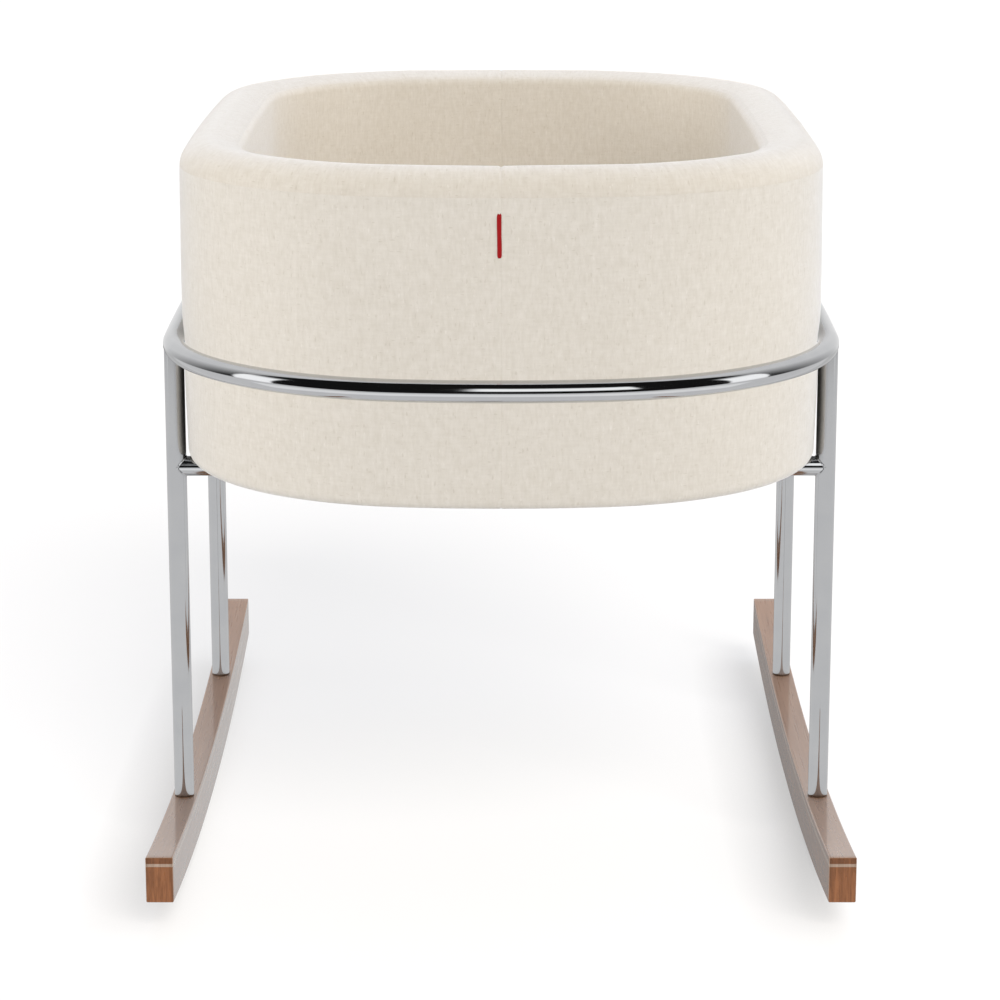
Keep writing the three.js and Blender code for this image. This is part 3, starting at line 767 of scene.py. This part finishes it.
def make_rocker(label, side):
    """Body, stripe and cap, with a hair of air between the layers and a bolt's counterbore under each leg."""

    def stripe_top(y):
        return rocker_top(y) - CAP

    def stripe_bottom(y):
        return rocker_top(y) - CAP - STRIPE - 0.3

    cap = rocker_layer(f"rocker_top_layer_{label}", side, lambda y: stripe_top(y) - 0.1, rocker_top,
                       high_free=True)
    stripe = rocker_layer(f"rocker_pale_layer_{label}", side, stripe_bottom, lambda y: stripe_top(y) - 0.16)
    body = rocker_layer(f"rocker_main_layer_{label}", side, rocker_sole, lambda y: stripe_bottom(y) - 0.06,
                        low_free=True)
    bore_top = rocker_sole(LEG_Y) + COUNTERBORE
    carve(body, [grid_object("bore", turned(side * LEG_X, y, (COUNTERBORE_R, -5.0), (COUNTERBORE_R, bore_top)),
                             close_ends=True) for y in (-LEG_Y, LEG_Y)])
    soften(body, 40)
    finished(cap, "walnut", f"rocker_cap_{label}")
    finished(stripe, "maple", f"rocker_stripe_{label}")
    finished(body, "walnut", f"rocker_body_{label}")


# Fasteners


def hexagon(flats):
    """Radius of a hexagon at an angle, given across its flats."""
    return lambda angle: flats / 2 / math.cos((angle + 1e-9) % (math.pi / 3) - math.pi / 6)


def make_bolt(name, x, y, node, head, head_height, shank, flats, depth):
    """Socket bolt standing on its head, as high as its node. flats and depth are those of its hexagon."""
    low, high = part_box(node)
    bottom, top = low.z / MM, high.z / MM
    head, shank = head / 2, shank / 2
    seat = bottom + head_height
    rows = turned(
        x, y, (0.01, bottom + depth), (hexagon(flats), bottom + depth), (hexagon(flats), bottom + 0.25),
        (hexagon(flats + 0.5), bottom), (head - 0.7, bottom), (head - 0.2, bottom + 0.2), (head, bottom + 0.7),
        (head, seat), (shank, seat), (shank, top - 0.8), (shank - 0.8, top), (0.01, top))
    finished(soften(grid_object(name, rows, close_ends=True), 30), "steel", node)


def make_washer(name, x, y, node, outer, bore, bottom, top):
    outer, bore = outer / 2, bore / 2
    steps = (bore, bottom), (outer - 0.2, bottom), (outer, bottom + 0.2), (outer, top), (bore, top)
    finished(soften(ring_object(name, turned(x, y, *steps)), 30), "steel", node)


def make_fasteners():
    for corner, (sx, sy) in CORNERS.items():
        x, y = sx * LEG_X, sy * LEG_Y
        seat = rocker_sole(LEG_Y) + COUNTERBORE - 0.3
        make_washer(f"leg_washer_round_{corner}", x, y, f"leg_washer_{corner}", 16.0, 8.6, seat - 1.6, seat)
        make_bolt(f"leg_socket_bolt_{corner}", x, y, f"leg_bolt_{corner}", 13.0, 8.0, 8.0, 6.0, 4.0)
        x = sx * TUB_BOLT_X
        make_bolt(f"tub_socket_bolt_{corner}", x, y, f"tub_bolt_{corner}", 11.0, 3.4, 6.0, 4.0, 2.0)

        def on_tube(px, py, y=y):
            return CROSS_Z - math.sqrt(max((TUBE_R + 0.05)**2 - (py - y)**2, 0))

        bottom = CROSS_Z - TUBE_R - 3.0
        make_washer(f"tub_saddle_washer_{corner}", x, y, f"tub_washer_{corner}", 15.0, 6.6, bottom, on_tube)
        for node in (f"leg_plug_{corner}", f"tub_nut_{corner}"):
            dress(nodes[node], "steel")


# Tub


def wall_inset(height):
    if height > RING_Z:
        return RIM_DRAW * (height - RING_Z) / (SEAM_Z - RING_Z)
    return BASE_DRAW * (RING_Z - height) / (RING_Z - TUB_BOTTOM - EDGE_R)


def arc(cx, cz, radius, start, stop, steps):
    """Arc of a profile. Angle 0 faces out of the tub, and a quarter turn faces up."""
    angles = np.linspace(start, stop, steps + 1)
    return [(cx - radius * math.cos(a), cz + radius * math.sin(a)) for a in angles]


def base_edge(depth, steps=8):
    return arc(BASE_DRAW + EDGE_R, TUB_BOTTOM + EDGE_R, EDGE_R - depth, -math.pi / 2, 0, steps)


def rim_curve(depth, steps=14):
    """Round outer side, then a full inner side that turns down over a tight edge."""
    curve = arc(RIM_DRAW + OUTER_R, TUB_TOP - OUTER_R, OUTER_R - depth, 0, math.pi / 2, steps)
    inset, height, lean = WALL - INNER_R, TUB_TOP, 0.0
    for radius, stop, count in ((INNER_R, 9.0, 4), (RIM_FULL_R, 20.0, 7), (None, 90.0, TURN_STEPS)):
        start, stop = lean, math.radians(stop)
        radius = radius or (WALL - inset) / (1 - math.sin(start))
        cx, cz = inset - radius * math.sin(start), height - radius * math.cos(start)
        for i in range(1, count + 1):
            lean = start + (stop - start) * (1 - (1 - i / count) ** 1.5)
            curve.append((cx + (radius - depth) * math.sin(lean), cz + (radius - depth) * math.cos(lean)))
        inset, height = cx + radius * math.sin(stop), cz + radius * math.cos(stop)
    return curve


def seam_dip(s, width=0.9, depth=0.4):
    """How far cloth sinks at an upright seam."""
    return -depth * math.exp(-((s / width) ** 2))


def puckers(s, v):
    """Small puckers that the stitches of an upright seam leave beside it."""
    if abs(s) > 30:
        return 0.0
    return 0.07 * math.sin(2 * math.pi * v / STITCH) * math.exp(-abs(s) / 7) * (1 - math.exp(-((s / 1.5) ** 2)))


def settle(s, v, size=0.35):
    """Slow unevenness of stretched cloth over foam."""
    slow = size * noise.noise(Vector((s / 95, v / 70, 3.7)))
    return slow + 0.3 * size * noise.noise(Vector((s / 30, v / 34, 9.1)))


def spread(angle, height):
    """How far the padded wall stands out over the ring at the sides, least where the ring presses on it."""
    across = math.cos(angle)
    full = (BULGE_RIGHT if across > 0 else BULGE_LEFT) * abs(across) ** 1.4 - 0.3 * abs(math.sin(angle)) ** 3
    pressed = math.exp(-(((height - RING_Z) / 17) ** 2))
    over_rim = min(1.0, max(0.0, (TUB_TOP - height) / 30)) ** 0.6
    below = 0.6 if height < RING_Z else 1.0
    return full * (1 - pressed) * over_rim * below


def make_outer_cover():
    top = SEAM_Z - 0.01
    at_top = wall_inset(top)
    hem_end = BASE_DRAW + EDGE_R + HEM
    below = [(hem_end, TUB_BOTTOM)] + [(BASE_DRAW + EDGE_R + HEM * k, TUB_BOTTOM) for k in (0.66, 0.33)]
    wall = [(wall_inset(z), z) for z in np.linspace(TUB_BOTTOM + EDGE_R, top - 3.2, 40)][1:]
    lip = [(at_top, top - 1.0), (at_top, top - 0.3), (at_top + 0.03, top - 0.03), (at_top + CLOTH + 0.3, top)]
    outer = below + base_edge(0) + wall + lip
    inner_wall = [(wall_inset(z) + CLOTH, z) for z in (top - 1.2, RING_Z, TUB_BOTTOM + EDGE_R + 1)]
    profile = outer + inner_wall + base_edge(CLOTH, 4)[::-1] + [(hem_end, TUB_BOTTOM + CLOTH)]
    lip_rows = range(len(outer) - len(lip), len(outer))
    wall_rows = range(lip_rows[0] - len(wall), lip_rows[0])

    def shift(s, v, j, angle):
        if j < len(below) or j == len(profile) - 1:
            return 0.0
        base = spread(angle, profile[j][1])
        if j >= len(outer):
            return -base
        edge = min(abs(s), HALF_GIRTH - abs(s))
        amount = base + seam_dip(edge) + puckers(edge, v)
        if j in wall_rows:
            height = outer[j][1]
            amount += settle(s, v) * min(1.0, abs(height - RING_Z) / 25, max(0.0, (top - height) / 20))
        return amount

    cover = soften(sweep("tub_outer_cloth", profile, FINE, shift=shift, level=lip_rows), 50)
    finished(cover, "linen", "outer_cover")


def make_rim_lining():
    start = SEAM_Z + 0.01
    lip = [(RIM_DRAW + CLOTH + 0.3, start), (RIM_DRAW + 0.03, start + 0.03), (RIM_DRAW, start + 0.3)]
    curve = [p for p in rim_curve(0) if p[1] > start + 2.2 or p[0] > 10]
    inner_wall = [(WALL, z) for z in np.linspace(curve[-1][1], LINING_BOTTOM, 36)][1:]
    outer = lip + curve + inner_wall
    crease = len(lip + curve) - TURN_STEPS - 1
    creased = {crease - 1: 0.12, crease: -0.35, crease + 1: 0.2}
    profile = outer + [(WALL - CLOTH, LINING_BOTTOM)] + rim_curve(CLOTH, 7)[::-1]
    level = len(lip) + 1

    def shift(s, v, j, angle):
        inset, height = profile[j]
        base = spread(angle, height) if inset < OUTER_R else 0.0
        if j >= len(outer):
            return -base
        edge = min(abs(s), HALF_GIRTH - abs(s))
        crest = max(0.0, 1 - (TUB_TOP - height) / 10)
        amount = base + seam_dip(edge, 0.9 + 0.6 * crest, 0.4 + 0.8 * crest) + puckers(edge, v)
        amount += creased.get(j, 0.0)
        if j > level:
            amount += settle(s + 400, v + 300, 0.5) * min(1.0, (j - level) / 6)
        return amount

    lining = soften(sweep("tub_rim_cloth", profile, FINE, shift=shift, level=range(level)), 50)
    finished(lining, "lining", "rim_lining", slot="linen")


def make_foams():
    top = RIM_FOAM_Z - 0.3
    shell = SHELL_INSET - 0.3
    wall = WALL - SKIN
    outer = base_edge(SKIN, 6) + [(SKIN, RING_Z), (wall_inset(top) + SKIN, top), (shell, top),
                                  (shell, TUB_BOTTOM + SKIN)]
    inner = [(FOAM_INSET, LINING_BOTTOM), (FOAM_INSET, top), (wall, top), (wall, LINING_BOTTOM)]
    rim = [(wall_inset(RIM_FOAM_Z) + SKIN, RIM_FOAM_Z)] + rim_curve(SKIN, 10) + [(wall, RIM_FOAM_Z)]
    for name, profile, *replaced in (
        ("foam_outer_pad", outer, "outer_foam"),
        ("foam_inner_pad", inner, "inner_foam"),
        ("foam_rim_roll", rim, *(node for node in nodes if node.startswith("rim_foam"))),
    ):
        pad = soften(sweep(name, profile, PLAIN))
        finished(pad, "foam", *replaced)


def flat_sheet(name, inset, bottom, thick):
    """Cloth with the tub's outline, lying flat."""
    return soften(sweep(name, [(inset, bottom), (inset, bottom + thick)], PLAIN, closed=False, caps=True))


def make_floor_sheets():
    liner = flat_sheet("tub_floor_cloth", WALL + 0.4, LINING_BOTTOM, 1.0)
    finished(liner, "lining", "floor_liner", slot="linen")
    under = flat_sheet("tub_dust_cloth", BASE_DRAW + EDGE_R + HEM + 0.3, TUB_BOTTOM, 0.8)
    finished(under, "black_cloth", "dust_cover")
    for node in ("base_board", "wall_shell"):
        dress(nodes[node], "plywood")


def ribbon_loop(half, reach, lean, front):
    """Section of the folded ribbon from one root round the fold to the other."""
    bend = -(front + reach - half)
    root = -(front - 1.2)
    left, right = ([(TAB_X + side * half + lean * (1 - k / 5), bend + (root - bend) * k / 5) for k in steps]
                   for side, steps in ((-1, range(5, 0, -1)), (1, range(1, 6))))
    fold = [(TAB_X + lean - half * math.cos(math.pi * k / 12), bend - half * math.sin(math.pi * k / 12))
            for k in range(13)]
    return left + fold + right


def make_tab():
    """Ribbon folded double in the front seam. Its fold faces forward."""
    bottom = TUB_TOP - TAB_BELOW_RIM - TAB_LENGTH
    front = RING_HALF_LENGTH - TUB_INSET
    verts, faces = [], []
    for i in range(TAB_STEPS + 1):
        t = i / TAB_STEPS
        end = min(t, 1 - t) * TAB_LENGTH
        reach = TAB_REACH - 2.0 * max(0.0, 1 - end / 2.2) ** 2
        half = TAB_HALF - 0.6 * max(0.0, 1 - end / 2.0) ** 2
        lean = 0.25 * math.sin(5 * t + 0.6)
        outer = ribbon_loop(half, reach, lean, front)
        inner = ribbon_loop(half - TAB_THICK, reach - TAB_THICK, lean, front)
        verts += [(x, y, bottom + TAB_LENGTH * t) for x, y in outer + inner[::-1]]
    count = len(verts) // (TAB_STEPS + 1)
    for i in range(TAB_STEPS):
        for k in range(count):
            n = (k + 1) % count
            faces.append((i * count + k, i * count + n, (i + 1) * count + n, (i + 1) * count + k))
    for base in (0, TAB_STEPS * count):
        for k in range(count // 2 - 1):
            faces.append((base + k, base + k + 1, base + count - 2 - k, base + count - 1 - k))
    tab = soften(mesh_object("seam_ribbon", verts, faces), 50)
    finished(tab, "ribbon", "seam_tab")
    tab.visible_diffuse = False


# Mattress


def pad_profile(depth):
    """Profile of the pad, drawn in by depth: flat below, round at the edges and crowned on top."""
    edge = WALL + PAD_CLEAR
    bottom = LINER_TOP + 0.3
    low, high = (edge + PAD_R, bottom + PAD_R), (edge + PAD_R, bottom + PAD_THICK - PAD_R)
    profile = [(edge + 45.0, bottom + depth)]
    profile += arc(*low, PAD_R - depth, -math.pi / 2, 0, 6) + arc(*high, PAD_R - depth, 0, math.pi / 2, 6)
    for k in range(1, 7):
        share = k / 6
        crown = PAD_CROWN * (1 - (1 - share) ** 2)
        profile.append((edge + PAD_R + 110 * share, high[1] + PAD_R - depth + crown))
    return profile


def swollen(obj, cap):
    """Points of a closed pad after cloth under pressure has run on it, each moved by no more than cap."""
    obj.data.remesh_voxel_size = PAD_VOXEL * MM
    bpy.context.view_layer.objects.active = obj
    obj.select_set(True)
    bpy.ops.object.voxel_remesh()
    points = np.array([v.co for v in obj.data.vertices])
    mod = obj.modifiers.new("cloth", "CLOTH")
    mod.settings.quality = 5
    mod.settings.mass = 0.3
    mod.settings.use_pressure = True
    mod.settings.uniform_pressure_force = 4
    mod.settings.effector_weights.gravity = 0
    scene = bpy.context.scene
    scene.frame_start, scene.frame_end = 1, CLOTH_FRAMES
    for step in range(1, CLOTH_FRAMES + 1):
        scene.frame_set(step)
    graph = bpy.context.evaluated_depsgraph_get()
    moved = np.array([v.co for v in obj.evaluated_get(graph).data.vertices]) - points
    obj.modifiers.clear()
    scene.frame_set(1)
    size = np.linalg.norm(moved, axis=1, keepdims=True)
    points = points + moved * np.minimum(1.0, cap * MM / np.maximum(size, 1e-9))
    obj.select_set(False)
    return points


def make_mattress():
    low = (LINER_TOP + 0.4) * MM
    pad = sweep("mattress_pad", pad_profile(PAD_DEPTH), PLAIN, closed=False, caps=True)
    points = swollen(pad, PAD_SWELL)
    points[:, 2] = np.maximum(points[:, 2], low)
    pad.data.vertices.foreach_set("co", points.ravel())
    pad.data.update()
    pad.data.polygons.foreach_set("use_smooth", [True] * len(pad.data.polygons))
    sheet = linked("mattress_cloth", pad.data.copy())
    inner = [Vector(p) for p in plan(PLAIN, TUB_INSET + WALL + PAD_CLEAR + SHEET_HEM) * MM]
    bm = bmesh.new()
    bm.from_mesh(sheet.data)
    centres = [(f, f.calc_center_median()) for f in bm.faces]
    gone = [f for f, centre in centres if centre.z < low + 0.0035 and inside(centre, inner)]
    bmesh.ops.delete(bm, geom=gone, context="FACES")
    bmesh.ops.recalc_face_normals(bm, faces=bm.faces)
    bm.normal_update()
    for v in bm.verts:
        s, t = v.co.x / MM, v.co.y / MM
        ripple = 0.45 * noise.noise(Vector((s / 46, t / 60, 1.3)))
        ripple += 0.25 * noise.noise(Vector((s / 17, t / 26, 5.1)))
        v.co += v.normal * (SHEET_PROUD + ripple) * MM
        v.co.z = max(v.co.z, low)
    bm.to_mesh(sheet.data)
    bm.free()
    solid = sheet.modifiers.new("thickness", "SOLIDIFY")
    solid.thickness = SHEET_THICK * MM
    solid.offset = -1
    smooth = sheet.modifiers.new("smooth", "SUBSURF")
    smooth.levels = smooth.render_levels = 1
    finished(pad, "foam", "mattress_core", body="mattress")
    finished(sheet, "cotton", "mattress_sheet", body="mattress")


def inside(point, ring):
    """Whether a point lies within a closed plan outline."""
    hit = False
    for a, b in zip(ring, ring[1:] + ring[:1]):
        if (a.y > point.y) != (b.y > point.y) and point.x < (b.x - a.x) * (point.y - a.y) / (b.y - a.y) + a.x:
            hit = not hit
    return hit


# Camera, light and floor

# Diffuse sky, with brighter sides
SKY = 0.29
SIDE_LEFT = 0.55
SIDE_RIGHT = 1.18

# Azimuth, elevation, spread, power and colour
LIGHTS = {
    "key": (14, 26, 40, 0.72, (1, 1, 1)),
    "rear": (173, 50, 50, 1.82, (0.62, 0.73, 1.0)),
    "front": (0, 5, 50, 0.77, (1, 1, 1)),
    "left": (-96, 4, 40, 1.4, (1, 1, 1)),
    "right": (128, 4, 40, 0.6, (0.8, 0.88, 1.0)),
}
FLOOR_LIGHT = (20, 31, 45, 8.4, (1, 1, 1))
FLOOR_GLOW = 0.68
# Painted shadow on the floor: how far its glow drops beside things that stand close on its right
PAINTED_CONTACT_SHADOW = 0.22

# What gloss sees
FLAG = 0.01
PANEL = 1.5
SOFTBOX = 1.45
NEAR_FLOOR = 1.13
SIDE_FLOOR = (0.82, 0.62)
LEFT_REAR_FLOOR = 0.3
SECOND_BOUNCE = 0.75


def make_camera():
    data = bpy.data.cameras.new("camera")
    data.lens = 114.8
    data.sensor_width = 36.0
    data.shift_x = -0.00105
    data.clip_end = 60.0
    camera = linked("camera", data)
    camera.location = (0.0, -2.9771, 0.9943)
    camera.rotation_euler = (math.radians(90 - 13.489), 0.0, 0.0)
    bpy.context.scene.camera = camera


def make_light(name, azimuth, elevation, spread, power, colour):
    """Far soft light, spread over an angle. Azimuth 0 is in front, and 90 on the right."""
    a, e = math.radians(azimuth), math.radians(elevation)
    back = Vector((math.sin(a) * math.cos(e), -math.cos(a) * math.cos(e), math.sin(e)))
    data = bpy.data.lights.new(name, "SUN")
    data.angle = math.radians(spread)
    data.energy = power
    data.color = colour
    light = linked(name, data)
    light.location = back * 4
    light.rotation_mode = "QUATERNION"
    light.rotation_quaternion = (-back).to_track_quat("-Z", "Y")
    light.visible_glossy = False
    light.visible_camera = False
    return light


def make_world():
    """White to the camera, soft sky to cloth, and to gloss a studio of walls, dark flags and a softbox."""
    world = bpy.data.worlds.new("studio")
    bpy.context.scene.world = world
    graph = Graph(world)
    ray = graph.node("ShaderNodeLightPath")
    x, y, z = graph.split(graph.coordinates("Generated"))
    degree = 180 / math.pi
    azimuth = graph.times(graph.math("ARCTAN2", x, graph.times(y, -1.0)), degree)
    height = graph.times(graph.math("ARCSINE", z), degree)
    turn = graph.size(azimuth)

    def below(value, low, high):
        return graph.span(value, low, high, 1.0, 0.0, smooth=True)

    def band(value, low, high, soft):
        rising = graph.span(value, low - soft / 2, low + soft / 2, smooth=True)
        return graph.times(rising, below(value, high - soft / 2, high + soft / 2))

    slope = graph.add(graph.times(turn, 0.0145), graph.times(height, 0.013))
    level = graph.span(slope, 1.378, 2.198, 0.05, 0.87)
    level = graph.blend(below(turn, 88, 95), level, FLAG)
    level = graph.blend(graph.times(band(turn, 71, 91.5, 2), band(height, -12, 30.5, 18)), level, PANEL)
    level = graph.blend(graph.times(band(azimuth, -5, 31, 4), band(height, 14, 40.5, 9)), level, SOFTBOX)
    near = graph.times(band(height, -42, -21, 6), below(turn, 82, 88))
    lit_floor = graph.blend(near, graph.span(turn, 138, 146, *SIDE_FLOOR, smooth=True), NEAR_FLOOR)
    lit_floor = graph.blend(below(azimuth, -166, -160), lit_floor, LEFT_REAR_FLOOR)
    level = graph.blend(below(height, -11.5, -8.5), level, lit_floor)
    level = graph.blend(graph.span(ray.outputs["Glossy Depth"], 1.4, 1.6), level, SECOND_BOUNCE)

    def sky(strength):
        return graph.out("ShaderNodeBackground", {"Color": (1, 1, 1, 1), "Strength": strength})

    def choose(factor, a, b):
        return graph.out("ShaderNodeMixShader", {0: factor, 1: a, 2: b})

    sides = graph.times(band(turn, 60, 130, 20), graph.span(azimuth, -60, 60, SIDE_LEFT, SIDE_RIGHT))
    unseen = choose(ray.outputs["Is Glossy Ray"], sky(graph.add(sides, SKY)), sky(level))
    graph.node("ShaderNodeOutputWorld", {0: choose(ray.outputs["Is Camera Ray"], unseen, sky(1.0))})


def make_floor():
    """Pale floor that keeps the shadow: diffuse under the lights, with the rest of its white as glow. The glow
    is lowered where something stands close on a point's right, which paints a shadow to the left of the
    rockers.
    """
    size = 12000.0
    verts = [(-size, -size, -0.2), (size, -size, -0.2), (size, size, -0.2), (-size, size, -0.2)]
    floor = mesh_object("floor", verts, [(0, 1, 2, 3)], smooth=False)
    mat = bpy.data.materials.new("floor_pale")
    graph = Graph(mat)
    seen = graph.node("ShaderNodeLightPath").outputs["Is Camera Ray"]
    diffuse = graph.out("ShaderNodeBsdfDiffuse", {0: graph.mix(seen, (0.3, 0.3, 0.3), (0.165, 0.157, 0.149))})
    # Painted shadow: the glow drops where something stands within 7.5 cm towards the right and up, as if a lamp
    # on the right were blocked.
    contact = graph.openness(0.075, (0.8, -0.15, 0.58))
    glow_less_painted_shadow = graph.span(contact, 0.2, 1.0, FLOOR_GLOW - PAINTED_CONTACT_SHADOW, FLOOR_GLOW)
    glow = graph.out("ShaderNodeEmission", {"Strength": graph.times(seen, glow_less_painted_shadow)})
    graph.node("ShaderNodeOutputMaterial", {0: graph.out("ShaderNodeAddShader", {0: diffuse, 1: glow})})
    floor.data.materials.append(mat)
    floor.visible_glossy = False
    shadow_maker = make_light("floor_key", *FLOOR_LIGHT)
    receivers = bpy.data.collections.new("floor_only")
    receivers.objects.link(floor)
    shadow_maker.light_linking.receiver_collection = receivers


make_camera()
make_ring()
for corner, (sx, sy) in CORNERS.items():
    make_leg(corner, sx, sy)
make_cross_tube("front", -1)
make_cross_tube("rear", 1)
make_rocker("left", -1)
make_rocker("right", 1)
make_fasteners()
make_outer_cover()
make_rim_lining()
make_foams()
make_floor_sheets()
make_tab()
make_mattress()
make_world()
make_floor()
for name, settings in LIGHTS.items():
    make_light(name, *settings)
bpy.context.scene.view_settings.view_transform = "Standard"
